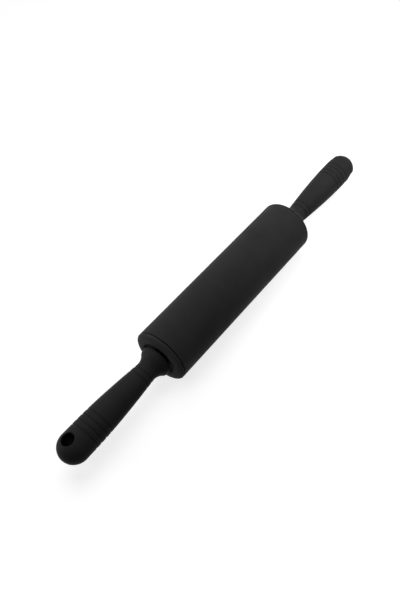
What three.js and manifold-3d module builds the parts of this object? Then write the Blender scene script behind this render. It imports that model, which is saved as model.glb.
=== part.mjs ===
// Silicone rolling pin, in millimetres.
// X runs along the pin towards the far handle, Z is up, and the origin is the middle of the roller.
// A silicone sleeve on a core tube is closed by two end caps. A steel rod runs through the caps,
// and each handle turns freely on its own end of the rod.

import * as THREE from 'three';
import { mergeVertices } from 'three/addons/utils/BufferGeometryUtils.js';
import Module from 'manifold-3d';

// Roller
const rollerRadius = 25;
const sleeveLength = 180.4;
const sleeveWall = 3;
const sleeveEdgeRound = 0.5;
const coreWall = 2.6;

// End caps
const capThickness = 3.4;
const capRim = 0.2;
const capCrownWidth = 7.5;
const capDishDepth = 1.6;
const capDishRadius = 15;
const capWeb = 3;
const plugLength = 14;
const plugWall = 2.4;
const bossWall = 3.4;
const bossLength = 18;

// Axle rod and what sits on it
const rodRadius = 4;
const rodChamfer = 0.8;
const rodTipGap = 2;
const rodGrooveDepth = 0.9;
const clipThickness = 1.2;
const clipWidth = 3;
const ringInset = 5;
const ringThickness = 1.6;
const ringWidth = 1.7;
const springOpening = 50;

// Thrust washer and handle liner
const washerThickness = 3.1;
const washerWidth = 3.6;
const linerWall = 1.8;
const linerFlangeWidth = 2.2;
const linerFlange = 1.5;
const linerRecess = 0.5;

// Grip
const handleLength = 108.6;
const collarRimRadius = 14.2;
const collarRadius = 13.9;
const collarLength = 2.6;
const collarEdgeRound = 0.6;
const collarShoulder = 4.5;
const neckFillet = 11.8;
const neckRadius = 9.1;
const bellyRadius = 13.3;
const bellyLength = 9;
const boreToHole = 22;
const holeRadius = 5.5;
const holeInset = 12.2;

// Thin grooves round the grip: a group near the tip and a pair at the neck
const grooveWidth = 2.2;
const grooveDepth = 0.25;
const tipGrooveCount = 4;
const tipGrooveInset = 24.1;
const tipGroovePitch = 5.35;
const neckGrooveCount = 2;
const neckGrooveInset = 17.7;
const neckGroovePitch = 5.5;

// How far each handle has turned about the axle, in degrees
const nearHandleTurn = 3;
const farHandleTurn = -60;

// Clearances: seated pieces, turning pieces, faces that bear on each other, and the cap's seam
const fitGap = 0.2;
const runGap = 0.25;
const bearingGap = 0.15;
const seamGap = 0.3;

// Facets of the large and the small round pieces, and the steps in a quarter-round edge
const largeSides = 32;
const smallSides = 20;
const holeSides = 24;
const edgeSteps = 4;
const crownSteps = 6;
const domeSteps = 7;
const swellSteps = 9;

// Corner radius of a faceted bore whose flats just clear a round piece
const boreAround = (radius, sides) => radius / Math.cos(Math.PI / sides);

// Stations along X of the far half
const seamX = sleeveLength / 2;
const flangeX = seamX + seamGap;
const capFaceX = flangeX + capThickness - capDishDepth;
const bossEndX = seamX - bossLength;
const washerX = capFaceX + bearingGap;
const linerX = washerX + washerThickness + bearingGap;
const handleX = linerX - linerRecess;
const clipX = bossEndX - bearingGap - clipThickness;

// Stations inside the handle, measured from the collar's face
const holeStation = handleLength - holeInset;
const boreDepth = holeStation - holeRadius - boreToHole;
const rodReach = boreDepth - rodTipGap;
const ringStation = rodReach - ringInset;
const domeStation = handleLength - bellyRadius;
const swellEnd = domeStation - bellyLength;
const shoulderRadius = collarRadius - collarShoulder;
const filletRise = neckRadius + neckFillet - shoulderRadius;
const filletRun = Math.sqrt((collarShoulder + neckFillet) ** 2 - filletRise ** 2);
const swellStart = collarLength + filletRun;
const rodEndX = handleX + rodReach;
const ringX = handleX + ringStation;

// Radii that fit into one another
const sleeveBore = rollerRadius - sleeveWall;
const coreRadius = sleeveBore - fitGap;
const coreBore = coreRadius - coreWall;
const plugRadius = coreBore - fitGap;
const bossBore = boreAround(rodRadius + fitGap, smallSides);
const rodGrooveRadius = rodRadius - rodGrooveDepth;
const springBore = rodGrooveRadius + fitGap;
const washerBore = boreAround(rodRadius + runGap, smallSides);
const linerBore = boreAround(rodRadius + runGap, smallSides);
const linerRadius = linerBore + linerWall;
const linerFlangeRadius = linerRadius + linerFlangeWidth;
const ringRadius = springBore + ringWidth;
const linerGroove = boreAround(ringRadius + runGap, smallSides);
const gripBore = boreAround(linerRadius + fitGap, largeSides);
const gripCounterbore = boreAround(linerFlangeRadius + fitGap, largeSides);

const wasm = await Module();
wasm.setup();

const finish = (color, roughness, metalness = 0) =>
  () => new THREE.MeshStandardMaterial({ color, roughness, metalness });
const blackSilicone = finish(0x2a2a2b, 0.8);
const blackPlastic = finish(0x242425, 0.6);
const greyPlastic = finish(0x8a8c8d, 0.6);
const bearingPlastic = finish(0x1c1c1d, 0.5);
const steel = finish(0xb4b7ba, 0.35, 1);

const piece = (name, geometry, material) => {
  const mesh = new THREE.Mesh(geometry, material());
  mesh.name = name;
  return mesh;
};

// Points on an arc in the section plane, as [x, radius] pairs. It is circular unless its height
// from the axis is given too.
const arc = (centreX, centreRadius, reach, fromAngle, toAngle, steps, height = reach) => {
  const points = [];
  for (let step = 0; step <= steps; step += 1) {
    const angle = fromAngle + (toAngle - fromAngle) * step / steps;
    points.push([centreX + reach * Math.cos(angle), centreRadius + height * Math.sin(angle)]);
  }
  return points;
};

// A section turned about X. Its [x, radius] points run with x rising on the outside of the piece,
// and it either starts and ends on the axis or is closed here.
const turned = (section, sides) => {
  const points = section.map(([x, radius]) => new THREE.Vector2(radius, x));
  const onAxis = section[0][1] === 0;
  if (!onAxis) {
    points.push(points[0].clone());
  }
  const flatBelow = Math.PI / sides;
  const geometry = new THREE.LatheGeometry(points, sides, flatBelow);
  geometry.rotateZ(-Math.PI / 2);
  return geometry;
};

// A plain tube between two stations, for washers and the core
const tube = (fromX, toX, bore, radius, sides) =>
  turned([[toX, bore], [fromX, bore], [fromX, radius], [toX, radius]], sides);

const solidFrom = (geometry) => {
  const bare = geometry.clone();
  bare.deleteAttribute('normal');
  bare.deleteAttribute('uv');
  const merged = mergeVertices(bare, 1e-4);
  const index = merged.index.array;
  const kept = [];
  for (let corner = 0; corner < index.length; corner += 3) {
    const [a, b, c] = index.slice(corner, corner + 3);
    if (a !== b && b !== c && c !== a) {
      kept.push(a, b, c);
    }
  }
  const vertProperties = new Float32Array(merged.attributes.position.array);
  const triVerts = new Uint32Array(kept);
  return new wasm.Manifold(new wasm.Mesh({ numProp: 3, vertProperties, triVerts }));
};

const geometryFrom = (solid) => {
  const mesh = solid.getMesh();
  const geometry = new THREE.BufferGeometry();
  geometry.setAttribute('position', new THREE.BufferAttribute(mesh.vertProperties, 3));
  geometry.setIndex(new THREE.BufferAttribute(mesh.triVerts, 1));
  geometry.computeVertexNormals();
  return geometry;
};

const silicone = () => {
  const round = sleeveEdgeRound;
  const edge = rollerRadius - round;
  return turned([
    [seamX, sleeveBore],
    [-seamX, sleeveBore],
    ...arc(-seamX + round, edge, round, Math.PI, Math.PI / 2, edgeSteps),
    ...arc(seamX - round, edge, round, Math.PI / 2, 0, edgeSteps),
  ], largeSides);
};

// Cap: a flange crowned into a ring round a dish, a plug for the core tube, and a boss for the rod
const endCap = () => {
  const crownX = flangeX + capRim;
  const crown = capThickness - capRim;
  const crestRadius = rollerRadius - capCrownWidth;
  const dishFall = crestRadius - capDishRadius;
  const webX = capFaceX - capWeb;
  const bossRadius = bossBore + bossWall;
  const plugBore = plugRadius - plugWall;
  const plugEndX = seamX - plugLength;
  return turned([
    [capFaceX, bossBore],
    [bossEndX, bossBore],
    [bossEndX, bossRadius],
    [webX, bossRadius],
    [webX, plugBore],
    [plugEndX, plugBore],
    [plugEndX, plugRadius],
    [flangeX, plugRadius],
    [flangeX, rollerRadius],
    ...arc(crownX, crestRadius, crown, Math.PI / 2, 0, crownSteps, capCrownWidth),
    ...arc(capFaceX, crestRadius, capDishDepth, 0, -Math.PI / 2, edgeSteps, dishFall).slice(1),
  ], largeSides);
};

// Rod: chamfered ends, a groove for each snap ring and each axle clip
const axleRod = () => {
  const groove = (fromX, toX) => [
    [fromX, rodRadius],
    [fromX, rodGrooveRadius],
    [toX, rodGrooveRadius],
    [toX, rodRadius],
  ];
  const ringGroove = [ringX - fitGap, ringX + ringThickness + fitGap];
  const clipGroove = [clipX - fitGap, clipX + clipThickness + fitGap];
  return turned([
    [-rodEndX, 0],
    [-rodEndX, rodRadius - rodChamfer],
    [-rodEndX + rodChamfer, rodRadius],
    ...groove(-ringGroove[1], -ringGroove[0]),
    ...groove(-clipGroove[1], -clipGroove[0]),
    ...groove(...clipGroove),
    ...groove(...ringGroove),
    [rodEndX - rodChamfer, rodRadius],
    [rodEndX, rodRadius - rodChamfer],
    [rodEndX, 0],
  ], smallSides);
};

// Open spring ring lying square to X, its opening at the top
const springRing = (fromX, thickness, radius) => {
  const half = THREE.MathUtils.degToRad(springOpening / 2);
  const start = Math.PI / 2 + half;
  const end = Math.PI / 2 + 2 * Math.PI - half;
  const outline = new THREE.Shape();
  outline.absarc(0, 0, radius, start, end, false);
  outline.absarc(0, 0, springBore, end, start, true);
  const options = { depth: thickness, bevelEnabled: false, curveSegments: smallSides };
  const geometry = new THREE.ExtrudeGeometry(outline, options);
  geometry.rotateY(Math.PI / 2);
  geometry.rotateX(Math.PI / 2);
  geometry.translate(fromX, 0, 0);
  return geometry;
};

const handleLiner = () => {
  const flangeEnd = linerRecess + linerFlange;
  const endX = boreDepth - fitGap;
  const grooveStart = ringStation - runGap;
  const grooveEnd = ringStation + ringThickness + runGap;
  return turned([
    [endX, linerBore],
    [grooveEnd, linerBore],
    [grooveEnd, linerGroove],
    [grooveStart, linerGroove],
    [grooveStart, linerBore],
    [linerRecess, linerBore],
    [linerRecess, linerFlangeRadius],
    [flangeEnd, linerFlangeRadius],
    [flangeEnd, linerRadius],
    [endX, linerRadius],
  ], smallSides);
};

const grooveStations = () => {
  const stations = [];
  for (let place = 0; place < neckGrooveCount; place += 1) {
    stations.push(neckGrooveInset + place * neckGroovePitch);
  }
  for (let place = 0; place < tipGrooveCount; place += 1) {
    stations.push(handleLength - tipGrooveInset - place * tipGroovePitch);
  }
  return stations;
};

// Radius of the taper: a quarter sine from the neck to the belly, then level up to the dome
const swell = (station) => {
  const share = THREE.MathUtils.clamp((station - swellStart) / (swellEnd - swellStart), 0, 1);
  return neckRadius + (bellyRadius - neckRadius) * Math.sin(share * Math.PI / 2);
};

// Taper from the neck to the dome with the grooves let into it
const taper = () => {
  const grooves = grooveStations();
  const points = grooves.flatMap((station) => [
    [station - grooveWidth / 2, swell(station - grooveWidth / 2)],
    [station, swell(station) - grooveDepth],
    [station + grooveWidth / 2, swell(station + grooveWidth / 2)],
  ]);
  for (let step = 0; step <= swellSteps; step += 1) {
    const station = swellStart + (domeStation - swellStart) * step / swellSteps;
    const clear = grooves.every((groove) => Math.abs(groove - station) > grooveWidth);
    if (clear) {
      points.push([station, swell(station)]);
    }
  }
  return points.sort((a, b) => a[0] - b[0]);
};

// Bell of the collar: a convex shoulder that runs on into the hollow of the neck
const flare = () => {
  const meet = Math.atan2(filletRise, filletRun);
  const hollow = neckRadius + neckFillet;
  return [
    ...arc(collarLength, shoulderRadius, collarShoulder, Math.PI / 2, meet, edgeSteps),
    ...arc(swellStart, hollow, neckFillet, Math.PI + meet, 1.5 * Math.PI, edgeSteps).slice(1, -1),
  ];
};

// Grip: one moulding with a blind bore for the liner and a hanging hole across its tip
const grip = () => {
  const round = collarEdgeRound;
  const counterbore = linerRecess + linerFlange + fitGap;
  const dome = arc(domeStation, 0, bellyRadius, Math.PI / 2, 0, domeSteps).slice(1, -1);
  const body = turned([
    [boreDepth, 0],
    [boreDepth, gripBore],
    [counterbore, gripBore],
    [counterbore, gripCounterbore],
    [0, gripCounterbore],
    ...arc(round, collarRimRadius - round, round, Math.PI, Math.PI / 2, edgeSteps),
    ...flare(),
    ...taper(),
    ...dome,
    [handleLength, 0],
  ], largeSides);
  const throughGrip = 4 * bellyRadius;
  const drill = new THREE.CylinderGeometry(holeRadius, holeRadius, throughGrip, holeSides);
  drill.rotateX(Math.PI / 2);
  drill.translate(holeStation, 0, 0);
  return geometryFrom(solidFrom(body).subtract(solidFrom(drill)));
};

// One end of the pin, built as the far end: what stays with the roller, and the turning handle
const end = (side, handleTurn) => {
  const group = new THREE.Group();
  const washerRadius = washerBore + washerWidth;
  group.add(
    piece(`${side}_end_cap`, endCap(), blackPlastic),
    piece(`${side}_axle_clip`, springRing(clipX, clipThickness, springBore + clipWidth), steel),
    piece(`${side}_snap_ring`, springRing(ringX, ringThickness, ringRadius), steel),
    piece(
      `${side}_thrust_washer`,
      tube(washerX, washerX + washerThickness, washerBore, washerRadius, smallSides),
      bearingPlastic,
    ),
  );
  const handle = new THREE.Group();
  handle.add(
    piece(`${side}_grip`, grip(), blackPlastic),
    piece(`${side}_handle_liner`, handleLiner(), bearingPlastic),
  );
  handle.position.x = handleX;
  handle.rotation.x = THREE.MathUtils.degToRad(handleTurn);
  group.add(handle);
  return group;
};

const rollingPin = new THREE.Group();
rollingPin.add(
  piece('silicone_sleeve', silicone(), blackSilicone),
  piece('core_tube', tube(-seamX, seamX, coreBore, coreRadius, largeSides), greyPlastic),
  piece('axle_rod', axleRod(), steel),
);
const nearEnd = end('near', nearHandleTurn);
nearEnd.rotation.z = Math.PI;
rollingPin.add(nearEnd, end('far', farHandleTurn));

export default rollingPin;
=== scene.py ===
"""Silicone rolling pin: its visible pieces, the studio and the camera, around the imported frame.

Sizes are in millimetres and become metres where a mesh is made. X runs along the pin towards the
far handle, Z is up, and the origin is the middle of the roller.
"""

import logging
import math
from dataclasses import dataclass
from enum import Enum
from typing import Any, Callable, Iterable, Sequence

import bmesh
import bpy
import numpy as np
from mathutils import Matrix, Vector


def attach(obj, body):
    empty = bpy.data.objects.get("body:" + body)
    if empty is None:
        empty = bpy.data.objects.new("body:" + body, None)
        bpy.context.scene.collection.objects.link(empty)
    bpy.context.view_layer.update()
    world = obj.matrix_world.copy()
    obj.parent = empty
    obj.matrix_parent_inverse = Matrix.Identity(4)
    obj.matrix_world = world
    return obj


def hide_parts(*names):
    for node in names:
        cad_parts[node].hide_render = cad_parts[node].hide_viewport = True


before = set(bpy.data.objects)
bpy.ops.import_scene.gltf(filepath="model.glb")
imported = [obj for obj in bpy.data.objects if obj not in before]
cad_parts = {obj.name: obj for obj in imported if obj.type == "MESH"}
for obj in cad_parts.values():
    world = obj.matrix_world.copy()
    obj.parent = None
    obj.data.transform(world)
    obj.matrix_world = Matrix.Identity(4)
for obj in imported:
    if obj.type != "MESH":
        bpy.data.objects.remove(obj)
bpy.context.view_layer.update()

LOG = logging.getLogger("rolling_pin")
MM = 0.001
TINY = 1e-6
WEAR = "wear"
# Mark of how far into a groove or bore a point lies, which sets how much shade is painted there
PAINTED_SHADE = "hollow"
# How far past a round its guard point stands, as a share of the round
GUARD_SHARE = 0.3
# The values that noise stays between, apart from rare peaks
NOISE_RANGE = (0.3, 0.7)

Outline = list[tuple[float, float]]


def linear(colour: str) -> tuple[float, float, float, float]:
    """Turns an sRGB hex colour into the linear values that shaders take.

    Args:
        colour: the colour as six hex digits after a hash sign.

    Returns:
        Linear red, green and blue, and full alpha.
    """
    channels = [int(colour[place:place + 2], 16) / 255 for place in (1, 3, 5)]
    red, green, blue = (
        value / 12.92 if value <= 0.04045 else ((value + 0.055) / 1.055) ** 2.4 for value in channels
    )
    return red, green, blue, 1.0


def add(
    tree: bpy.types.NodeTree,
    kind: str,
    settings: dict[str, Any] | None = None,
    inputs: dict[str | int, Any] | None = None,
) -> bpy.types.Node:
    """Adds a node with its settings and links.

    Args:
        tree: the node tree that gets the node.
        kind: Blender's name for the type of node.
        settings: the node's properties by name.
        inputs: by input name or place, a value, a socket to link, or a node that gives its first output.

    Returns:
        The new node.
    """
    node = tree.nodes.new(kind)
    for name, value in (settings or {}).items():
        setattr(node, name, value)
    for key, value in (inputs or {}).items():
        source = value.outputs[0] if isinstance(value, bpy.types.Node) else value
        if isinstance(source, bpy.types.NodeSocket):
            tree.links.new(source, node.inputs[key])
        else:
            node.inputs[key].default_value = source
    return node


def empty_tree(owner: bpy.types.Material | bpy.types.World) -> bpy.types.NodeTree:
    """Gives a material or the world an empty node tree.

    Args:
        owner: the material or the world.

    Returns:
        Its tree.
    """
    owner.use_nodes = True
    owner.node_tree.nodes.clear()
    return owner.node_tree


def show(data: bpy.types.ID) -> bpy.types.Object:
    """Puts a mesh, a lamp or a camera into the scene.

    Args:
        data: the mesh, lamp or camera.

    Returns:
        The object that shows it, under its name.
    """
    shown = bpy.data.objects.new(data.name, data)
    bpy.context.scene.collection.objects.link(shown)
    return shown


def facing(place: Sequence[float], aim: Sequence[float]) -> Matrix:
    """Works out the placement of a lamp or a camera.

    Args:
        place: where it stands.
        aim: the point that it faces.

    Returns:
        The placement, with its top upwards.
    """
    turn = (Vector(aim) - Vector(place)).to_track_quat("-Z", "Y")
    return Matrix.Translation(place) @ turn.to_matrix().to_4x4()


class Side(Enum):
    """The two ends of the pin, as the photograph shows them."""

    NEAR = "near"
    FAR = "far"

    @property
    def placement(self) -> Matrix:
        """Turn that brings a piece drawn for the far end to this end."""
        return Matrix.Rotation(math.pi if self is Side.NEAR else 0.0, 4, "Z")

    @property
    def handle_turn(self) -> float:
        """Angle about X that this handle has been left at, in radians."""
        return math.radians(3.0 if self is Side.NEAR else -60.0)


class Body(Enum):
    """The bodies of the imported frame."""

    ROLLER = "roller"
    NEAR_HANDLE = "near_handle"
    FAR_HANDLE = "far_handle"


class Slot(Enum):
    """The record's material slots."""

    SILICONE = "silicone"
    CAP = "cap_plastic"
    GRIP = "grip_plastic"
    CORE = "core_plastic"
    BEARING = "bearing_plastic"
    AXLE = "axle_steel"
    SPRING = "spring_steel"


@dataclass(frozen=True)
class Grain:
    """A patchy pattern of one real size, which may be drawn out along the pin.

    Attributes:
        size: width of a patch in millimetres.
        drawn: how many times longer than wide a patch is along X.
        detail: how many finer layers the pattern has.
    """

    size: float
    drawn: float = 1.0
    detail: float = 2.0

    def lay(self, tree: bpy.types.NodeTree) -> bpy.types.Node:
        """Adds the pattern to a material.

        Args:
            tree: the material's node tree.

        Returns:
            The node whose first output is the pattern.
        """
        place = add(tree, "ShaderNodeTexCoord").outputs["Object"]
        patches = 1.0 / (self.size * MM)
        scale = (patches / self.drawn, patches, patches)
        stretched = add(tree, "ShaderNodeMapping", inputs={"Vector": place, "Scale": scale})
        return add(
            tree,
            "ShaderNodeTexNoise",
            inputs={"Vector": stretched, "Scale": 1.0, "Detail": self.detail},
        )

    def lay_between(self, tree: bpy.types.NodeTree, low: float, high: float) -> bpy.types.Node:
        """Adds the pattern to a material, widened to fill a range of values.

        Args:
            tree: the material's node tree.
            low: value of the lowest patches.
            high: value of the highest patches.

        Returns:
            The node whose first output is the pattern.
        """
        keys = ("From Min", "From Max", "To Min", "To Max")
        limits = dict(zip(keys, (*NOISE_RANGE, low, high)))
        return add(tree, "ShaderNodeMapRange", inputs={"Value": self.lay(tree)} | limits)


@dataclass(frozen=True)
class Finish:
    """A material named for what it is and how its surface was made.

    Attributes:
        name: the material's name.
        slot: the record's slot for it, which is not used.
        dark: sRGB colour of its darker patches.
        light: sRGB colour of its lighter patches.
        worn: sRGB colour where handling has rubbed an edge.
        clouds: pattern of the patches of colour.
        smears: pattern of the smoother and rougher patches.
        tooth: pattern of the surface's fine texture.
        tooth_depth: depth of that texture in millimetres.
        smooth: roughness of the smoothest patches.
        rough: roughness of the roughest patches.
        shade_colour: sRGB colour of the shade painted inside grooves and holes.
        metallic: 1 for a metal.
        ior: index of refraction.
        specular: level of the mirror reflection, 0.5 for what the index gives.
        sheen: share of soft sheen at grazing angles.
    """

    name: str
    slot: Slot
    dark: str
    light: str
    worn: str
    clouds: Grain
    smears: Grain
    tooth: Grain
    tooth_depth: float
    smooth: float
    rough: float
    # Colour of the shade painted into grooves and holes
    shade_colour: str = "#0c0c0d"
    metallic: float = 0.0
    ior: float = 1.5
    specular: float = 0.5
    sheen: float = 0.0

    def material(self) -> bpy.types.Material:
        """Makes the material, or finds it where it is already made.

        Returns:
            The material.
        """
        made = bpy.data.materials.get(self.name)
        if made:
            return made
        material = bpy.data.materials.new(self.name)
        tree = empty_tree(material)
        wear, hollow = (
            add(tree, "ShaderNodeAttribute", {"attribute_name": mark}).outputs["Fac"]
            for mark in (WEAR, PAINTED_SHADE)
        )
        colour: Any = linear(self.dark)
        clouds = self.clouds.lay_between(tree, 0.0, 1.0)
        # Lighter patches, rubbed edges, then shade painted into the grooves and holes that the hollow mark
        # covers
        for share, tint in ((clouds, self.light), (wear, self.worn), (hollow, self.shade_colour)):
            inputs = {"Factor": share, "A": colour, "B": linear(tint)}
            colour = add(tree, "ShaderNodeMix", {"data_type": "RGBA"}, inputs).outputs["Result"]
        spread = self.smears.lay_between(tree, self.smooth, self.rough)
        roughness = add(
            tree,
            "ShaderNodeMix",
            {"data_type": "FLOAT"},
            {"Factor": wear, "A": spread, "B": self.smooth},
        )
        tooth = add(
            tree,
            "ShaderNodeBump",
            inputs={"Strength": 1.0, "Distance": self.tooth_depth * MM, "Height": self.tooth.lay(tree)},
        )
        shader = add(
            tree,
            "ShaderNodeBsdfPrincipled",
            inputs={
                "Base Color": colour,
                "Metallic": self.metallic,
                "Roughness": roughness,
                "IOR": self.ior,
                "Specular IOR Level": self.specular,
                "Sheen Weight": self.sheen,
                "Normal": tooth,
            },
        )
        add(tree, "ShaderNodeOutputMaterial", inputs={"Surface": shader})
        return material


# Silicone rubber from a blasted mould: a dead matt black with a faint cloudy bloom and hardly any
# mirror reflection. Its grain, like that of the other mouldings, is drawn coarser than the real one
# of about a tenth of a millimetre, so that it shows.
SILICONE = Finish(
    name="moulded_silicone",
    slot=Slot.SILICONE,
    dark="#252526",
    light="#2b2b2c",
    worn="#2f2f30",
    clouds=Grain(size=38.0, detail=3.0),
    smears=Grain(size=14.0, detail=3.0),
    tooth=Grain(size=0.6),
    tooth_depth=0.02,
    smooth=0.62,
    rough=0.74,
    ior=1.41,
    specular=0.06,
    sheen=0.03,
)

# Polypropylene from a spark-eroded mould: a soft black with the faintest satin gloss, broken up by a fine
# grain, a little greyer where hands rub its edges, with near-black shade painted inside its grooves and
# holes
GRIP_PLASTIC = Finish(
    name="moulded_polypropylene_grip",
    slot=Slot.GRIP,
    dark="#262627",
    light="#2b2b2c",
    worn="#2f2f30",
    clouds=Grain(size=26.0, detail=3.0),
    smears=Grain(size=11.0, detail=4.0),
    tooth=Grain(size=0.5),
    tooth_depth=0.02,
    smooth=0.42,
    rough=0.52,
    ior=1.49,
    specular=0.018,
)

# The same plastic from a plainer mould: an even matt black, a shade greyer than the grips
CAP_PLASTIC = Finish(
    name="moulded_polypropylene_cap",
    slot=Slot.CAP,
    dark="#333334",
    light="#39393a",
    worn="#3e3e3f",
    clouds=Grain(size=22.0, detail=3.0),
    smears=Grain(size=9.0, detail=4.0),
    tooth=Grain(size=0.45),
    tooth_depth=0.018,
    smooth=0.5,
    rough=0.6,
    ior=1.49,
    specular=0.02,
)

# Extruded ABS tube: mid grey with the long faint lines that the die leaves
CORE_PLASTIC = Finish(
    name="extruded_abs_tube",
    slot=Slot.CORE,
    dark="#7f8182",
    light="#8d8f90",
    worn="#9a9c9d",
    shade_colour="#5c5e5f",
    clouds=Grain(size=9.0, drawn=6.0),
    smears=Grain(size=2.5, drawn=20.0),
    tooth=Grain(size=0.8, drawn=40.0),
    tooth_depth=0.03,
    smooth=0.45,
    rough=0.6,
    ior=1.54,
)

# Black acetal turned and moulded for bearings: slightly waxy and smooth
BEARING_PLASTIC = Finish(
    name="moulded_black_acetal",
    slot=Slot.BEARING,
    dark="#19191a",
    light="#1f1f20",
    worn="#29292a",
    clouds=Grain(size=6.0),
    smears=Grain(size=3.0),
    tooth=Grain(size=0.4),
    tooth_depth=0.008,
    smooth=0.32,
    rough=0.42,
    ior=1.48,
)

# Bright drawn steel: fine scratches along the rod that stretch its highlights across
AXLE_STEEL = Finish(
    name="drawn_bright_steel",
    slot=Slot.AXLE,
    dark="#a9acaf",
    light="#bbbec1",
    worn="#cdd0d2",
    shade_colour="#8a8d90",
    clouds=Grain(size=5.0, drawn=8.0),
    smears=Grain(size=0.7, drawn=40.0),
    tooth=Grain(size=0.4, drawn=60.0),
    tooth_depth=0.006,
    smooth=0.24,
    rough=0.38,
    metallic=1.0,
)

# Stamped spring steel, oil tempered: grey brown with brighter sheared edges
SPRING_STEEL = Finish(
    name="stamped_spring_steel",
    slot=Slot.SPRING,
    dark="#65625f",
    light="#77777a",
    worn="#9b9c9e",
    shade_colour="#4c4a48",
    clouds=Grain(size=2.5),
    smears=Grain(size=1.2),
    tooth=Grain(size=0.3),
    tooth_depth=0.006,
    smooth=0.3,
    rough=0.45,
    metallic=1.0,
)


@dataclass(frozen=True)
class Corner:
    """A corner of a turned section: its station along X, its radius, and how it is rounded."""

    station: float
    radius: float
    round: float = 0.0


def rounded(corners: Sequence[Corner], closed: bool = True, steps: int = 8) -> Outline:
    """Rounds the corners of a section, with a guard point beside each round that keeps flats flat.

    Args:
        corners: the corners in order round the section.
        closed: whether the last corner runs on to the first.
        steps: how many short chords make a round.

    Returns:
        The section's stations and radii.
    """
    outline: Outline = []
    last = len(corners) - 1
    for place, corner in enumerate(corners):
        here = Vector((corner.station, corner.radius))
        is_end = not closed and place in (0, last)
        if is_end or corner.round == 0.0:
            outline.append(tuple(here))
            continue
        neighbours = corners[place - 1], corners[(place + 1) % len(corners)]
        back, onward = (
            (Vector((other.station, other.radius)) - here).normalized() for other in neighbours
        )
        half = back.angle(onward) / 2
        reach = corner.round / math.tan(half)
        guard = reach + GUARD_SHARE * corner.round
        centre = here + (back + onward).normalized() * (corner.round / math.sin(half))
        first_spoke = here + back * reach - centre
        last_spoke = here + onward * reach - centre
        outline.append(tuple(here + back * guard))
        for step in range(steps + 1):
            spoke = first_spoke.slerp(last_spoke, step / steps).normalized()
            outline.append(tuple(centre + spoke * corner.round))
        outline.append(tuple(here + onward * guard))
    return outline


def arc(
    centre: tuple[float, float], reach: tuple[float, float], angles: tuple[float, float], steps: int
) -> Outline:
    """Draws an arc of a circle or an ellipse in a section.

    Args:
        centre: station and radius of its centre.
        reach: how far it reaches along X and away from the axis.
        angles: angles of its first and last points in radians, from the X axis.
        steps: how many chords it has.

    Returns:
        The arc's stations and radii.
    """
    (station, radius), (along, away) = centre, reach
    return [
        (station + along * math.cos(angle), radius + away * math.sin(angle))
        for angle in np.linspace(*angles, steps + 1)
    ]


class Draft:
    """A mesh in the making, in millimetres, as points and the faces between rings of them."""

    def __init__(self) -> None:
        """Starts with nothing drawn."""
        self.points: list[Vector] = []
        self.faces: list[tuple[int, ...]] = []

    def ring(self, points: Iterable[Sequence[float]]) -> list[int]:
        """Adds points and gives their numbers.

        Args:
            points: the points of a ring in order.

        Returns:
            The number of each point.
        """
        first = len(self.points)
        self.points.extend(Vector(point) for point in points)
        return list(range(first, len(self.points)))

    def span(
        self, first: Sequence[int], second: Sequence[int], gaps: frozenset[int] = frozenset()
    ) -> None:
        """Joins two closed rings by faces; a ring of one point is a pole.

        Args:
            first: numbers of the first ring's points.
            second: numbers of the second ring's points.
            gaps: places round the ring that get no face.
        """
        count = max(len(first), len(second))
        for here in range(count):
            if here in gaps:
                continue
            there = (here + 1) % count
            around = (
                first[here % len(first)],
                first[there % len(first)],
                second[there % len(second)],
                second[here % len(second)],
            )
            self.faces.append(tuple(dict.fromkeys(around)))

    def turned_rings(self, outline: Outline, sides: int) -> list[list[int]]:
        """Adds a ring about X for each point of a section, from the top round through +Y.

        Args:
            outline: the section's stations and radii.
            sides: how many points a ring has.

        Returns:
            The rings' point numbers; a point on the axis is a ring of one.
        """
        angles = np.linspace(0.0, math.tau, sides, endpoint=False)
        rings = []
        for station, radius in outline:
            spread = angles if radius > TINY else angles[:1]
            rings.append(
                self.ring((station, radius * math.sin(angle), radius * math.cos(angle)) for angle in spread)
            )
        return rings

    def chain(self, rings: Sequence[Sequence[int]], closed: bool = False) -> None:
        """Joins each ring to the next by faces.

        Args:
            rings: numbers of each ring's points.
            closed: whether the last ring is joined to the first.
        """
        for first, second in zip(rings, rings[1:]):
            self.span(first, second)
        if closed:
            self.span(rings[-1], rings[0])

    def mesh(self, placement: Matrix) -> bpy.types.Mesh:
        """Makes a mesh of what is drawn.

        Args:
            placement: where the drawing goes, in millimetres.

        Returns:
            The mesh, in metres.
        """
        mesh = bpy.data.meshes.new("draft")
        mesh.from_pydata([placement @ point * MM for point in self.points], [], self.faces)
        return mesh


def turned(outline: Outline, sides: int, placement: Matrix, closed: bool = True) -> bpy.types.Mesh:
    """Turns a section about X.

    Args:
        outline: the section's stations and radii.
        sides: how many sides the piece has.
        placement: where the piece goes, in millimetres.
        closed: whether the section runs on from its last point to its first.

    Returns:
        The mesh, in metres.
    """
    draft = Draft()
    draft.chain(draft.turned_rings(outline, sides), closed)
    return draft.mesh(placement)


def tidy_mesh(mesh: bpy.types.Mesh) -> None:
    """Drops unused points, turns faces outwards and shades a closed mesh smooth.

    Args:
        mesh: the mesh to tidy.
    """
    draft = bmesh.new()
    draft.from_mesh(mesh)
    unused = [point for point in draft.verts if not point.link_faces]
    bmesh.ops.delete(draft, geom=unused, context="VERTS")
    bmesh.ops.recalc_face_normals(draft, faces=draft.faces)
    for face in draft.faces:
        face.smooth = True
    draft.to_mesh(mesh)
    draft.free()
    mesh.update()


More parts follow.
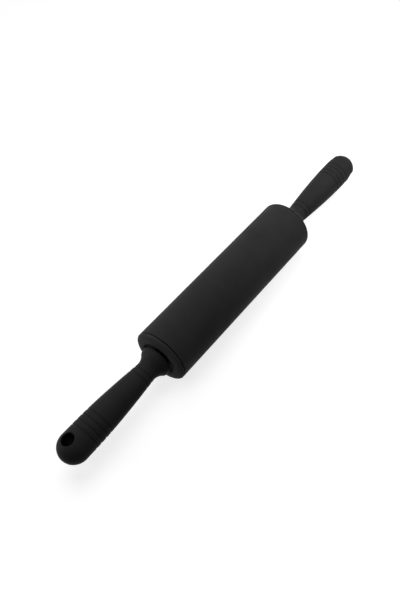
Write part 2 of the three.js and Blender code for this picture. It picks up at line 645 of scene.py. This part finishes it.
def mark_wear(mesh: bpy.types.Mesh, gentle: float = 0.5, sharp: float = 2.5, share: float = 0.6) -> None:
    """Marks how far each point of a mesh stands out on an edge, for its material to rub.

    Args:
        mesh: the mesh, whose points get the mark.
        gentle: curvature, per millimetre, at which wear starts.
        sharp: curvature at which it is full.
        share: most wear that is marked.
    """
    places, normals = np.empty((2, len(mesh.vertices) * 3))
    ends = np.empty(len(mesh.edges) * 2, dtype=np.int32)
    mesh.vertices.foreach_get("co", places)
    mesh.vertices.foreach_get("normal", normals)
    mesh.edges.foreach_get("vertices", ends)
    places = places.reshape(-1, 3) / MM
    normals = normals.reshape(-1, 3)
    ends = np.concatenate([ends.reshape(-1, 2), ends.reshape(-1, 2)[:, ::-1]])
    steps = places[ends[:, 1]] - places[ends[:, 0]]
    lengths = np.maximum((steps ** 2).sum(axis=1), TINY ** 2)
    bends = -2.0 * (steps * normals[ends[:, 0]]).sum(axis=1) / lengths
    counts = np.maximum(np.bincount(ends[:, 0], minlength=len(places)), 1)
    bend = np.bincount(ends[:, 0], weights=bends, minlength=len(places)) / counts
    wear = np.clip((bend - gentle) / (sharp - gentle), 0.0, 1.0) * share
    mark = mesh.attributes.new(WEAR, "FLOAT", "POINT")
    mark.data.foreach_set("value", wear.astype(np.float32))


def settle(
    node: str,
    made: str,
    mesh: bpy.types.Mesh,
    finish: Finish,
    body: Body = Body.ROLLER,
    depth: Callable[[Vector], float] | None = None,
) -> None:
    """Turns a mesh into a finished piece that stands for its CAD node.

    Args:
        node: the CAD node.
        made: how the piece was made, which follows the node in its name.
        mesh: its mesh, in place.
        finish: its material.
        body: the body that it rides on.
        depth: tells how far into a hollow a point of the mesh lies, from 0 to 1, which sets how much shade
            is painted there.
    """
    tidy_mesh(mesh)
    mark_wear(mesh)
    # Shade painted into hollows, as far as each point lies in one
    if depth:
        mark = mesh.attributes.new(PAINTED_SHADE, "FLOAT", "POINT")
        mark.data.foreach_set("value", [depth(point.co / MM) for point in mesh.vertices])
    mesh.name = f"{node}_{made}"
    mesh.materials.clear()
    mesh.materials.append(finish.material())
    piece = show(mesh)
    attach(piece, body.value)
    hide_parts(node)
    LOG.info("%s: %d faces, for %s on %s", piece.name, len(mesh.polygons), node, body.value)


@dataclass(frozen=True)
class Ring:
    """Sizes of one ring about X.

    Attributes:
        centre: station of its middle.
        length: length along X.
        radius: outer radius.
        wall: thickness from bore to outside.
        edge: rounding of its edges.
        opening: angle in degrees that is left open at the top.
        sides: facets round it.
        steps: chords in each rounded edge.
    """

    centre: float
    length: float
    radius: float
    wall: float
    edge: float
    opening: float = 0.0
    sides: int = 96
    steps: int = 6


class RingTree:
    """Geometry Nodes tree of a ring about X with rounded edges, whole or split open at its top.

    The section is a line of points that are bent into place: four rounds, each with a guard point
    on both sides that keeps the flats flat. SIZES gives the tree's inputs, each with its size of a
    ring and the unit of that size. REACH gives the sums for each point, in order, as a result, an
    operation, and the numbers or earlier results that it takes.
    """

    SIZES = {
        "Length": ("length", MM),
        "Outer Radius": ("radius", MM),
        "Wall": ("wall", MM),
        "Edge Round": ("edge", MM),
        "Opening": ("opening", math.radians(1.0)),
        "Centre": ("centre", MM),
        "Sides": ("sides", 1),
        "Round Steps": ("steps", 1),
    }

    REACH = (
        ("corner points", "ADD", "Round Steps", 3.0),
        ("all points", "MULTIPLY", "corner points", 4.0),
        ("inside index", "ADD", "Index", 0.5),
        ("index in corners", "DIVIDE", "inside index", "corner points"),
        ("corner", "FLOOR", "index in corners"),
        ("first point", "MULTIPLY", "corner", "corner points"),
        ("place", "SUBTRACT", "Index", "first point"),
        ("place in round", "SUBTRACT", "place", 1.0),
        ("along", "DIVIDE", "place in round", "Round Steps"),
        ("after start", "MAXIMUM", "along", 0.0),
        ("share", "MINIMUM", "after start", 1.0),
        ("quarters", "ADD", "corner", "share"),
        ("angle", "MULTIPLY", "quarters", math.pi / 2),
        ("cosine", "COSINE", "angle"),
        ("sine", "SINE", "angle"),
        ("middle quarters", "ADD", "corner", 0.5),
        ("middle angle", "MULTIPLY", "middle quarters", math.pi / 2),
        ("middle cosine", "COSINE", "middle angle"),
        ("middle sine", "SINE", "middle angle"),
        ("outer side", "SIGN", "middle cosine"),
        ("upper side", "SIGN", "middle sine"),
        ("is after", "GREATER_THAN", "along", 1.0 + TINY),
        ("is before", "LESS_THAN", "along", -TINY),
        ("guard side", "SUBTRACT", "is after", "is before"),
        ("guard reach", "MULTIPLY", "Edge Round", GUARD_SHARE),
        ("guard", "MULTIPLY", "guard side", "guard reach"),
        ("half wall", "DIVIDE", "Wall", 2.0),
        ("flat wall", "SUBTRACT", "half wall", "Edge Round"),
        ("half length", "DIVIDE", "Length", 2.0),
        ("flat length", "SUBTRACT", "half length", "Edge Round"),
        ("flat out", "MULTIPLY", "outer side", "flat wall"),
        ("round out", "MULTIPLY", "cosine", "Edge Round"),
        ("guard out", "MULTIPLY", "sine", "guard"),
        ("bent out", "ADD", "flat out", "round out"),
        ("out", "SUBTRACT", "bent out", "guard out"),
        ("flat up", "MULTIPLY", "upper side", "flat length"),
        ("round up", "MULTIPLY", "sine", "Edge Round"),
        ("guard up", "MULTIPLY", "cosine", "guard"),
        ("bent up", "ADD", "flat up", "round up"),
        ("up", "ADD", "bent up", "guard up"),
        ("middle radius", "SUBTRACT", "Outer Radius", "half wall"),
        ("half opening", "DIVIDE", "Opening", 2.0),
        ("start angle", "ADD", "half opening", math.pi),
        ("sweep angle", "SUBTRACT", math.tau, "Opening"),
        ("is split", "GREATER_THAN", "Opening", 0.0),
    )

    def __init__(self) -> None:
        """Builds the tree with its named inputs."""
        self.tree = bpy.data.node_groups.new("rounded_ring", "GeometryNodeTree")
        interface = self.tree.interface
        kinds = {
            name: "NodeSocketInt" if isinstance(unit, int) else "NodeSocketFloat"
            for name, (_, unit) in self.SIZES.items()
        }
        self.sockets = {
            name: interface.new_socket(name, in_out="INPUT", socket_type=kind).identifier
            for name, kind in (kinds | {"Material": "NodeSocketMaterial"}).items()
        }
        interface.new_socket("Geometry", in_out="OUTPUT", socket_type="NodeSocketGeometry")
        given = add(self.tree, "NodeGroupInput").outputs
        self.values: dict[str, Any] = {name: given[name] for name in self.sockets}
        self.values["Index"] = add(self.tree, "GeometryNodeInputIndex")
        for result, operation, *terms in self.REACH:
            inputs = {place: self.values.get(term, term) for place, term in enumerate(terms)}
            self.values[result] = add(self.tree, "ShaderNodeMath", {"operation": operation}, inputs)
        self._finish(self._sweep(self._section()))

    def _section(self) -> bpy.types.Node:
        """Bends a line of points into the rounded section.

        Returns:
            The node that gives the closed section curve.
        """
        values = self.values
        position = add(self.tree, "ShaderNodeCombineXYZ", inputs={"X": values["out"], "Y": values["up"]})
        line = add(self.tree, "GeometryNodeMeshLine", inputs={"Count": values["all points"]})
        curve = add(self.tree, "GeometryNodeMeshToCurve", inputs={"Mesh": line})
        closed = add(self.tree, "GeometryNodeSetSplineCyclic", inputs={"Geometry": curve, "Cyclic": True})
        return add(self.tree, "GeometryNodeSetPosition", inputs={"Geometry": closed, "Position": position})

    def _sweep(self, section: bpy.types.Node) -> bpy.types.Node:
        """Carries the section round a circle, or round an arc where the ring is split.

        Args:
            section: the node that gives the section curve.

        Returns:
            The node that gives the ring about Z.
        """
        values = self.values
        round_path = {"Resolution": values["Sides"], "Radius": values["middle radius"]}
        circle = add(self.tree, "GeometryNodeCurvePrimitiveCircle", inputs=round_path)
        split_path = {"Start Angle": values["start angle"], "Sweep Angle": values["sweep angle"]}
        split = add(self.tree, "GeometryNodeCurveArc", inputs=round_path | split_path)
        path = add(
            self.tree,
            "GeometryNodeSwitch",
            {"input_type": "GEOMETRY"},
            {"Switch": values["is split"], "False": circle, "True": split},
        )
        level = add(self.tree, "GeometryNodeSetCurveNormal", {"mode": "Z_UP"}, {"Curve": path})
        return add(
            self.tree,
            "GeometryNodeCurveToMesh",
            inputs={"Curve": level, "Profile Curve": section, "Fill Caps": True},
        )

    def _finish(self, ring: bpy.types.Node) -> None:
        """Lays the ring about X at its centre, and gives it its material.

        Args:
            ring: the node that gives the ring about Z.
        """
        centre = add(self.tree, "ShaderNodeCombineXYZ", inputs={"X": self.values["Centre"]})
        laid = add(
            self.tree,
            "GeometryNodeTransform",
            inputs={"Geometry": ring, "Translation": centre, "Rotation": (0.0, math.pi / 2, 0.0)},
        )
        whole = add(self.tree, "GeometryNodeRealizeInstances", inputs={"Geometry": laid})
        dressed = add(
            self.tree,
            "GeometryNodeSetMaterial",
            inputs={"Geometry": whole, "Material": self.values["Material"]},
        )
        add(self.tree, "NodeGroupOutput", inputs={"Geometry": dressed})

    def build(self, node: str, made: str, ring: Ring, finish: Finish) -> None:
        """Makes one ring of the roller as a plain mesh, and settles it.

        Args:
            node: the CAD node that it stands for.
            made: how the ring was made.
            ring: its sizes.
            finish: its material.
        """
        blank = show(bpy.data.meshes.new("ring_blank"))
        modifier = blank.modifiers.new("ring", "NODES")
        modifier.node_group = self.tree
        for name, (size, unit) in self.SIZES.items():
            modifier[self.sockets[name]] = getattr(ring, size) * unit
        modifier[self.sockets["Material"]] = finish.material()
        evaluated = blank.evaluated_get(bpy.context.evaluated_depsgraph_get())
        mesh = bpy.data.meshes.new_from_object(evaluated)
        blank.modifiers.remove(modifier)
        bpy.data.objects.remove(blank)
        settle(node, made, mesh, finish)


@dataclass
class Roller:
    """The silicone sleeve and the core tube that carries it."""

    rings: RingTree
    radius: float = 25.0
    length: float = 180.4
    sleeve_wall: float = 3.0
    sleeve_edge: float = 0.25
    near_trim: float = 0.7
    core_wall: float = 2.6
    core_edge: float = 0.3
    fit: float = 0.2
    sides: int = 256

    @property
    def seam(self) -> float:
        """Station of the sleeve's end."""
        return self.length / 2

    @property
    def core_radius(self) -> float:
        """Outer radius of the core tube."""
        return self.radius - self.sleeve_wall - self.fit

    @property
    def core_bore(self) -> float:
        """Bore of the core tube."""
        return self.core_radius - self.core_wall

    def build(self) -> None:
        """Makes the sleeve and the core tube."""
        centre, trimmed = self.near_trim / 2, self.length - self.near_trim
        sleeve = Ring(centre, trimmed, self.radius, self.sleeve_wall, self.sleeve_edge, sides=self.sides)
        core = Ring(0.0, self.length, self.core_radius, self.core_wall, self.core_edge, sides=self.sides)
        self.rings.build("silicone_sleeve", "moulded", sleeve, SILICONE)
        self.rings.build("core_tube", "extruded", core, CORE_PLASTIC)


@dataclass(frozen=True)
class Spring:
    """A split ring in a groove of the rod: its kind, its station, its thickness and its width."""

    kind: str
    station: float
    thickness: float
    width: float


@dataclass
class Axle:
    """The steel rod through the roller, with the clips, snap rings and washers on it."""

    rings: RingTree
    radius: float = 4.0
    reach: float = 162.1
    chamfer: float = 0.8
    groove_depth: float = 0.9
    springs: tuple[Spring, ...] = (
        Spring("axle_clip", station=70.85, thickness=1.2, width=3.0),
        Spring("snap_ring", station=157.1, thickness=1.6, width=1.7),
    )
    opening: float = 50.0
    washer_station: float = 92.45
    washer_thickness: float = 3.1
    washer_width: float = 3.6
    fit: float = 0.2
    running_fit: float = 0.3
    edge: float = 0.2
    groove_round: float = 0.1
    end_round: float = 0.15
    round_steps: int = 4
    sides: int = 64

    @property
    def spring_bore(self) -> float:
        """Bore of the clips and the snap rings, which sit in the rod's grooves."""
        return self.radius - self.groove_depth + self.fit

    def half_section(self) -> list[Corner]:
        """Draws the far half of the rod's section.

        Returns:
            Its corners, from the middle of the rod to its end.
        """
        corners: list[Corner] = []
        floor = self.radius - self.groove_depth
        for spring in self.springs:
            start, finish = spring.station - self.fit, spring.station + spring.thickness + self.fit
            groove = ((start, self.radius), (start, floor), (finish, floor), (finish, self.radius))
            corners += [Corner(*place, self.groove_round) for place in groove]
        return corners + [
            Corner(self.reach - self.chamfer, self.radius, self.end_round),
            Corner(self.reach, self.radius - self.chamfer, self.end_round),
            Corner(self.reach, 0.0),
        ]

    def build_rod(self) -> None:
        """Makes the rod."""
        far = self.half_section()
        near = [Corner(-corner.station, corner.radius, corner.round) for corner in reversed(far)]
        outline = rounded(near + far, closed=False, steps=self.round_steps)
        mesh = turned(outline, self.sides, Matrix.Identity(4), closed=False)
        settle("axle_rod", "drawn", mesh, AXLE_STEEL)

    def build_end(self, side: Side) -> None:
        """Makes what sits on one end of the rod.

        Args:
            side: which end.
        """
        sign = -1.0 if side is Side.NEAR else 1.0
        for spring in self.springs:
            centre = sign * (spring.station + spring.thickness / 2)
            radius = self.spring_bore + spring.width
            ring = Ring(centre, spring.thickness, radius, spring.width, self.edge, self.opening)
            self.rings.build(f"{side.value}_{spring.kind}", "stamped", ring, SPRING_STEEL)
        centre = sign * (self.washer_station + self.washer_thickness / 2)
        radius = self.radius + self.running_fit + self.washer_width
        ring = Ring(centre, self.washer_thickness, radius, self.washer_width, self.edge)
        self.rings.build(f"{side.value}_thrust_washer", "cut", ring, BEARING_PLASTIC)

    def build(self) -> None:
        """Makes the rod and what sits on both its ends."""
        self.build_rod()
        for side in Side:
            self.build_end(side)


@dataclass
class EndCap:
    """A cap crowned into a ring round a dish, its plug in the core tube and its boss on the rod."""

    roller: Roller
    side: Side
    seam_gap: float = 0.3
    seam_edge: float = 0.2
    thickness: float = 3.4
    crown_width: float = 7.5
    crown_steps: int = 24
    dish_depth: float = 1.6
    dish_radius: float = 15.0
    web: float = 3.0
    plug_length: float = 14.0
    plug_wall: float = 2.4
    boss_bore: float = 4.25
    boss_wall: float = 3.4
    boss_length: float = 18.0
    bore_round: float = 0.3
    end_round: float = 0.4
    foot_round: float = 0.8
    lead_round: float = 0.5
    round_steps: int = 12
    sides: int = 256

    def inner_section(self, face: float) -> list[Corner]:
        """Draws the part of the cap's section that the roller hides.

        Args:
            face: station of the bottom of the dish.

        Returns:
            Its corners, from the dish's edge through the bore and round the plug to the rim.
        """
        seam = self.roller.seam
        inner_face = face - self.web
        boss = self.boss_bore + self.boss_wall
        plug = self.roller.core_bore - self.roller.fit
        return [
            Corner(face, self.dish_radius),
            Corner(face, self.boss_bore, self.bore_round),
            Corner(seam - self.boss_length, self.boss_bore, self.bore_round),
            Corner(seam - self.boss_length, boss, self.end_round),
            Corner(inner_face, boss, self.foot_round),
            Corner(inner_face, plug - self.plug_wall, self.foot_round),
            Corner(seam - self.plug_length, plug - self.plug_wall, self.end_round),
            Corner(seam - self.plug_length, plug, self.lead_round),
            Corner(seam + self.seam_gap, plug, self.seam_edge),
        ]

    def section(self) -> Outline:
        """Draws the cap's section, whose crown is a quarter of an ellipse on each side of its crest.

        Returns:
            Its stations and radii.
        """
        flange = self.roller.seam + self.seam_gap
        start = flange + self.seam_edge
        face = flange + self.thickness - self.dish_depth
        radius = self.roller.radius
        crest_radius = radius - self.crown_width
        crown = self.thickness - self.seam_edge
        fall = crest_radius - self.dish_radius
        quarter = math.pi / 2
        outer = arc((start, crest_radius), (crown, self.crown_width), (quarter, 0.0), self.crown_steps)
        inner = arc((face, crest_radius), (self.dish_depth, fall), (0.0, -quarter), self.crown_steps)
        corners = self.inner_section(face) + [Corner(flange, radius, self.seam_edge), Corner(*outer[1])]
        return outer + inner[1:] + rounded(corners, closed=False, steps=self.round_steps)[1:-1]

    def build(self) -> None:
        """Makes the cap."""
        mesh = turned(self.section(), self.sides, self.side.placement)
        settle(f"{self.side.value}_end_cap", "moulded", mesh, CAP_PLASTIC)


@dataclass
class Handle:
    """A handle that turns on its end of the rod: a moulded grip and the liner pressed into it.

    Stations are measured from the collar's face towards the tip.
    """

    side: Side
    station: float = 95.2
    length: float = 108.6
    collar_rim_radius: float = 14.2
    collar_radius: float = 13.9
    collar_length: float = 2.6
    collar_edge: float = 0.6
    shoulder: float = 4.5
    neck_fillet: float = 11.8
    neck_radius: float = 9.1
    belly_radius: float = 13.3
    belly_length: float = 9.0
    hole_radius: float = 5.5
    hole_inset: float = 12.2
    hole_lip: float = 0.4
    bore_radius: float = 6.32
    bore_depth: float = 68.9
    counterbore_radius: float = 8.52
    counterbore_depth: float = 2.2
    groove_width: float = 2.6
    groove_depth: float = 0.3
    groove_margin: float = 0.15
    groove_steps: int = 16
    # Depth below the skin at which the shade painted into grooves and bores is full
    full_shade_depth: float = 0.8
    tip_grooves: tuple[float, ...] = (68.45, 73.8, 79.15, 84.5)
    neck_grooves: tuple[float, ...] = (17.7, 23.2)
    liner_bore: float = 4.3
    liner_wall: float = 1.8
    liner_flange_width: float = 2.2
    liner_flange: float = 1.5
    liner_recess: float = 0.5
    liner_gap: float = 0.2
    snap_groove: tuple[float, float] = (61.65, 63.75)
    snap_groove_radius: float = 5.3
    bore_end_round: float = 0.4
    counterbore_round: float = 0.2
    bore_mouth_round: float = 0.3
    liner_round: float = 0.2
    liner_end_round: float = 0.3
    snap_groove_round: float = 0.1
    liner_round_steps: int = 4
    pitch: float = 1.0
    bell_steps: int = 12
    tip_steps: int = 18
    sides: int = 160
    mouth_columns: int = 14
    mouth_reach: float = 6.9
    mouth_blend: int = 4
    lip_steps: int = 8
    bore_steps: int = 8
    small_sides: int = 96

    @property
    def body(self) -> Body:
        """The body that the handle is."""
        return Body(f"{self.side.value}_handle")

    @property
    def placement(self) -> Matrix:
        """Where a piece drawn in the handle's own stations goes."""
        turn = Matrix.Rotation(self.side.handle_turn, 4, "X")
        return self.side.placement @ Matrix.Translation((self.station, 0.0, 0.0)) @ turn

    @property
    def dome(self) -> float:
        """Station where the round tip starts."""
        return self.length - self.belly_radius

    @property
    def hole(self) -> float:
        """Station of the hanging hole."""
        return self.length - self.hole_inset

    @property
    def bell_rise(self) -> float:
        """Distance from the axis between the centres of the bell's two arcs."""
        return self.neck_radius + self.neck_fillet - (self.collar_radius - self.shoulder)

    @property
    def neck(self) -> float:
        """Station where the bell has run out into the neck."""
        span = self.shoulder + self.neck_fillet
        return self.collar_length + math.sqrt(span ** 2 - self.bell_rise ** 2)

    def skin(self, station: float) -> float:
        """Gives the grip's radius between its neck and its tip, without the grooves.

        Args:
            station: station along the grip.

        Returns:
            The radius there.
        """
        if station > self.dome:
            return math.sqrt(max(self.belly_radius ** 2 - (station - self.dome) ** 2, 0.0))
        swell_end = self.dome - self.belly_length
        share = min(max((station - self.neck) / (swell_end - self.neck), 0.0), 1.0)
        return self.neck_radius + (self.belly_radius - self.neck_radius) * math.sin(share * math.pi / 2)

    def grooved(self, station: float) -> float:
        """Gives the grip's radius with the thin grooves let into it.

        Args:
            station: station along the grip.

        Returns:
            The radius there.
        """
        radius = self.skin(station)
        for groove in self.neck_grooves + self.tip_grooves:
            share = abs(station - groove) / (self.groove_width / 2)
            if share < 1.0:
                radius -= self.groove_depth * (1.0 + math.cos(math.pi * share)) / 2
        return radius

    def depth(self, point: Vector) -> float:
        """Tells how far below the grip's skin a point in place lies.

        Args:
            point: the point, in millimetres.

        Returns:
            0 on the skin, rising to 1 at the depth where the shade painted into grooves and bores is full.
        """
        station, across, up = self.placement.inverted() @ point
        below = self.skin(station) - math.hypot(across, up)
        return min(max(below / self.full_shade_depth, 0.0), 1.0)

    def mouth_of_bore(self) -> Outline:
        """Draws the section of the blind bore, the collar's face and its edge.

        Returns:
            The stations and radii, from the bore's end to the collar.
        """
        return rounded(
            [
                Corner(self.bore_depth, 0.0),
                Corner(self.bore_depth, self.bore_radius, self.bore_end_round),
                Corner(self.counterbore_depth, self.bore_radius, self.counterbore_round),
                Corner(self.counterbore_depth, self.counterbore_radius, self.counterbore_round),
                Corner(0.0, self.counterbore_radius, self.bore_mouth_round),
                Corner(0.0, self.collar_rim_radius, self.collar_edge),
                Corner(self.collar_length, self.collar_radius),
            ],
            closed=False,
        )

    def bell(self) -> Outline:
        """Draws the collar's convex shoulder and the hollow that it runs into at the neck.

        Returns:
            The stations and radii after the collar and up to the neck.
        """
        meet = math.atan2(self.bell_rise, self.neck - self.collar_length)
        convex = arc(
            (self.collar_length, self.collar_radius - self.shoulder),
            (self.shoulder, self.shoulder),
            (math.pi / 2, meet),
            self.bell_steps,
        )
        hollow = arc(
            (self.neck, self.neck_radius + self.neck_fillet),
            (self.neck_fillet, self.neck_fillet),
            (math.pi + meet, 1.5 * math.pi),
            self.bell_steps,
        )
        return convex[1:] + hollow[1:]

    def taper(self) -> Outline:
        """Draws the grip from its neck up to the hanging hole, with close stations in the grooves.

        Returns:
            The stations and radii.
        """
        finish = self.hole - self.mouth_reach
        grooves = self.neck_grooves + self.tip_grooves
        reach = self.groove_width / 2 + self.groove_margin
        clear = reach + self.groove_margin
        plain = np.arange(self.neck + self.pitch, finish - self.pitch / 2, self.pitch)
        stations = [
            station for station in plain if all(abs(station - groove) > clear for groove in grooves)
        ]
        for groove in grooves:
            stations += list(np.linspace(groove - reach, groove + reach, self.groove_steps + 1))
        return [(station, self.grooved(station)) for station in sorted(stations)]

    def tip(self) -> Outline:
        """Draws the round tip past the hanging hole.

        Returns:
            The stations and radii, ending on the axis.
        """
        first = math.acos((self.hole + self.mouth_reach - self.dome) / self.belly_radius)
        reach = (self.belly_radius, self.belly_radius)
        points = arc((self.dome, 0.0), reach, (first, 0.0), self.tip_steps)
        return points[1:-1] + [(self.length, 0.0)]

    def mouth_rim(self, rings: Sequence[Sequence[int]], upper: bool) -> list[int]:
        """Finds the points of the grip round one mouth of the hanging hole.

        Args:
            rings: the rings of points that the hole goes through.
            upper: whether it is the mouth at the top or the one below.

        Returns:
            The points' numbers in order round the mouth.
        """
        columns = range(-self.mouth_columns, self.mouth_columns + 1)
        rows = range(len(rings))
        loop = [(0, column) for column in columns]
        loop += [(row, columns[-1]) for row in rows[1:]]
        loop += [(rows[-1], column) for column in reversed(columns[:-1])]
        loop += [(row, columns[0]) for row in reversed(rows[1:-1])]
        half_turn = self.sides // 2
        return [
            rings[row][(column if upper else half_turn - column) % self.sides] for row, column in loop
        ]

    def sink_mouth(self, draft: Draft, rim: Sequence[int], upper: bool) -> list[int]:
        """Draws one mouth of the hanging hole, from the grip's skin over a rounded lip into the bore.

        Args:
            draft: the grip's drawing.
            rim: numbers of the points round the mouth.
            upper: whether it is the mouth at the top or the one below.

        Returns:
            Numbers of the points where the lip runs into the bore.
        """
        sign = 1.0 if upper else -1.0
        plan = [Vector((draft.points[number].x - self.hole, draft.points[number].y)) for number in rim]
        lip_radius = self.hole_radius + self.hole_lip
        rows = []
        for step in range(1, self.mouth_blend + 1):
            share = step / self.mouth_blend
            rows.append([(point.lerp(point.normalized() * lip_radius, share), 0.0) for point in plan])
        for step in range(1, self.lip_steps + 1):
            angle = step / self.lip_steps * math.pi / 2
            radius = lip_radius - self.hole_lip * math.sin(angle)
            drop = self.hole_lip * (1.0 - math.cos(angle))
            rows.append([(point.normalized() * radius, drop) for point in plan])
        rings = [list(rim)]
        for row in rows:
            ring = draft.ring(
                (
                    self.hole + spot.x,
                    spot.y,
                    sign * (math.sqrt(self.skin(self.hole + spot.x) ** 2 - spot.y ** 2) - drop),
                )
                for spot, drop in row
            )
            rings.append(ring)
        draft.chain(rings)
        return rings[-1]

    def grip_mesh(self) -> bpy.types.Mesh:
        """Draws the grip: its turned body, and the hanging hole let in across its tip.

        Returns:
            The mesh, in place.
        """
        draft = Draft()
        start, finish = self.hole - self.mouth_reach, self.hole + self.mouth_reach
        stations = np.linspace(start, finish, 2 * self.mouth_columns + 1)
        before = self.mouth_of_bore() + self.bell() + self.taper()
        through = [(station, self.skin(station)) for station in stations]
        rings = draft.turned_rings(before + through + self.tip(), self.sides)
        first, last = len(before), len(before) + len(through) - 1
        half_turn = self.sides // 2
        window = [
            (centre + column) % self.sides
            for centre in (0, half_turn)
            for column in range(-self.mouth_columns, self.mouth_columns)
        ]
        for place, (one, other) in enumerate(zip(rings, rings[1:])):
            draft.span(one, other, frozenset(window if first <= place < last else ()))
        through_rings = rings[first:last + 1]
        top, bottom = (
            self.sink_mouth(draft, self.mouth_rim(through_rings, upper), upper) for upper in (True, False)
        )
        between = [
            draft.ring(
                draft.points[one].lerp(draft.points[other], step / self.bore_steps)
                for one, other in zip(top, bottom)
            )
            for step in range(1, self.bore_steps)
        ]
        draft.chain([top, *between, bottom])
        return draft.mesh(self.placement)

    def liner_section(self) -> list[Corner]:
        """Draws the liner's section.

        Returns:
            Its corners, from the bore's end to the outside.
        """
        end = self.bore_depth - self.liner_gap
        radius = self.liner_bore + self.liner_wall
        flange = radius + self.liner_flange_width
        face = self.liner_recess
        groove_start, groove_end = self.snap_groove
        return [
            Corner(end, self.liner_bore, self.liner_round),
            Corner(groove_end, self.liner_bore, self.snap_groove_round),
            Corner(groove_end, self.snap_groove_radius, self.snap_groove_round),
            Corner(groove_start, self.snap_groove_radius, self.snap_groove_round),
            Corner(groove_start, self.liner_bore, self.snap_groove_round),
            Corner(face, self.liner_bore, self.liner_round),
            Corner(face, flange, self.liner_round),
            Corner(face + self.liner_flange, flange, self.liner_round),
            Corner(face + self.liner_flange, radius, self.liner_round),
            Corner(end, radius, self.liner_end_round),
        ]

    def build(self) -> None:
        """Makes the grip and its liner."""
        side = self.side.value
        # The grip gets shade painted into its grooves and bores, from how far below its skin they lie
        settle(f"{side}_grip", "moulded", self.grip_mesh(), GRIP_PLASTIC, self.body, self.depth)
        outline = rounded(self.liner_section(), steps=self.liner_round_steps)
        liner = turned(outline, self.small_sides, self.placement)
        settle(f"{side}_handle_liner", "moulded", liner, BEARING_PLASTIC, self.body)


@dataclass(frozen=True)
class Softbox:
    """A square studio lamp, in metres.

    Attributes:
        name: the lamp's name.
        place: where its middle is.
        size: length of its sides.
        level: how bright its face is without a grid, 1 for a white sheet's.
        aim: the point that it faces.
        spread: angle in degrees that a grid on its face lets light out at.
    """

    name: str
    place: tuple[float, float, float]
    size: float
    level: float
    aim: tuple[float, float, float] = (0.0, 0.0, 0.0)
    spread: float = 180.0

    def build(self) -> None:
        """Makes the lamp, with the power that gives its face its level."""
        data = bpy.data.lights.new(self.name, "AREA")
        data.shape = "SQUARE"
        data.size = self.size
        data.energy = self.level * math.pi * self.size ** 2
        data.spread = math.radians(self.spread)
        show(data).matrix_world = facing(self.place, self.aim)


@dataclass
class Studio:
    """A white sheet under the pin, soft lamps, and the camera of the photograph, in metres.

    The room round the lamps is dim, and white where the camera looks past the sheet.
    """

    floor_level: float = -0.025
    floor_size: float = 8.0
    floor_colour: str = "#a8a8a8"
    floor_glow: float = 0.76
    room_level: float = 0.06
    camera_place: tuple[float, float, float] = (-0.27212, -0.27172, 0.39831)
    camera_aim: tuple[float, float, float] = (-0.02554, 0.01114, 0.0)
    camera_roll: float = -13.42
    lens: float = 37.477
    sensor: float = 36.0
    clip: float = 0.01
    softboxes: tuple[Softbox, ...] = (
        Softbox("top_softbox", place=(0.35, 0.3, 1.4), size=1.4, level=2.75),
        Softbox(
            "side_softbox",
            place=(-0.9, 1.1, 0.4),
            size=0.8,
            level=0.42,
            aim=(-0.15, 0.0, 0.0),
            spread=40.0,
        ),
        Softbox(
            "far_softbox",
            place=(0.3, -0.2, 0.25),
            size=0.25,
            level=1.0,
            aim=(0.17, 0.0, 0.0),
            spread=60.0,
        ),
    )

    def seen_directly(self, tree: bpy.types.NodeTree) -> bpy.types.Node:
        """Adds the test for what the camera sees, also in a mirror or through glass.

        Args:
            tree: the node tree that needs it.

        Returns:
            The node that gives 1 for such rays.
        """
        rays = add(tree, "ShaderNodeLightPath").outputs
        seen: Any = rays["Is Camera Ray"]
        for kind in ("Is Transmission Ray", "Is Glossy Ray"):
            seen = add(tree, "ShaderNodeMath", {"operation": "MAXIMUM"}, {0: seen, 1: rays[kind]})
        return seen

    def build_floor(self) -> None:
        """Makes the white sheet, which keeps the pin's shadow."""
        half = self.floor_size / 2
        plan = ((-half, -half), (half, -half), (half, half), (-half, half))
        corners = [(x, y, self.floor_level) for x, y in plan]
        mesh = bpy.data.meshes.new("studio_floor")
        mesh.from_pydata(corners, [], [(0, 1, 2, 3)])
        material = bpy.data.materials.new("matt_white_paper")
        tree = empty_tree(material)
        paper = add(tree, "ShaderNodeBsdfDiffuse", inputs={"Color": linear(self.floor_colour)})
        glow = add(
            tree,
            "ShaderNodeMath",
            {"operation": "MULTIPLY"},
            {0: self.seen_directly(tree), 1: self.floor_glow},
        )
        white = add(tree, "ShaderNodeEmission", inputs={"Strength": glow})
        both = add(tree, "ShaderNodeAddShader", inputs={0: paper, 1: white})
        add(tree, "ShaderNodeOutputMaterial", inputs={"Surface": both})
        mesh.materials.append(material)
        floor = show(mesh)

    def build_room(self) -> None:
        """Makes the dim room, which is white to the camera."""
        world = bpy.data.worlds.new("white_studio")
        tree = empty_tree(world)
        level = add(
            tree,
            "ShaderNodeMix",
            {"data_type": "FLOAT"},
            {"Factor": self.seen_directly(tree), "A": self.room_level, "B": 1.0},
        )
        white = add(tree, "ShaderNodeBackground", inputs={"Color": linear("#ffffff"), "Strength": level})
        add(tree, "ShaderNodeOutputWorld", inputs={"Surface": white})
        bpy.context.scene.world = world

    def build_camera(self) -> None:
        """Sets the camera at the photograph's viewing angle."""
        data = bpy.data.cameras.new("photograph_camera")
        data.lens = self.lens
        data.sensor_width = self.sensor
        data.clip_start = self.clip
        camera = show(data)
        roll = Matrix.Rotation(math.radians(self.camera_roll), 4, "Z")
        camera.matrix_world = facing(self.camera_place, self.camera_aim) @ roll
        bpy.context.scene.camera = camera

    def build(self) -> None:
        """Makes the studio."""
        self.build_floor()
        self.build_room()
        for softbox in self.softboxes:
            softbox.build()
        self.build_camera()
        bpy.context.scene.view_settings.view_transform = "Standard"


def main() -> None:
    """Builds the studio and the pin, piece by piece."""
    logging.basicConfig(level=logging.INFO)
    Studio().build()
    rings = RingTree()
    roller = Roller(rings)
    roller.build()
    Axle(rings).build()
    for side in Side:
        EndCap(roller, side).build()
        Handle(side).build()


if __name__ == "__main__":
    main()
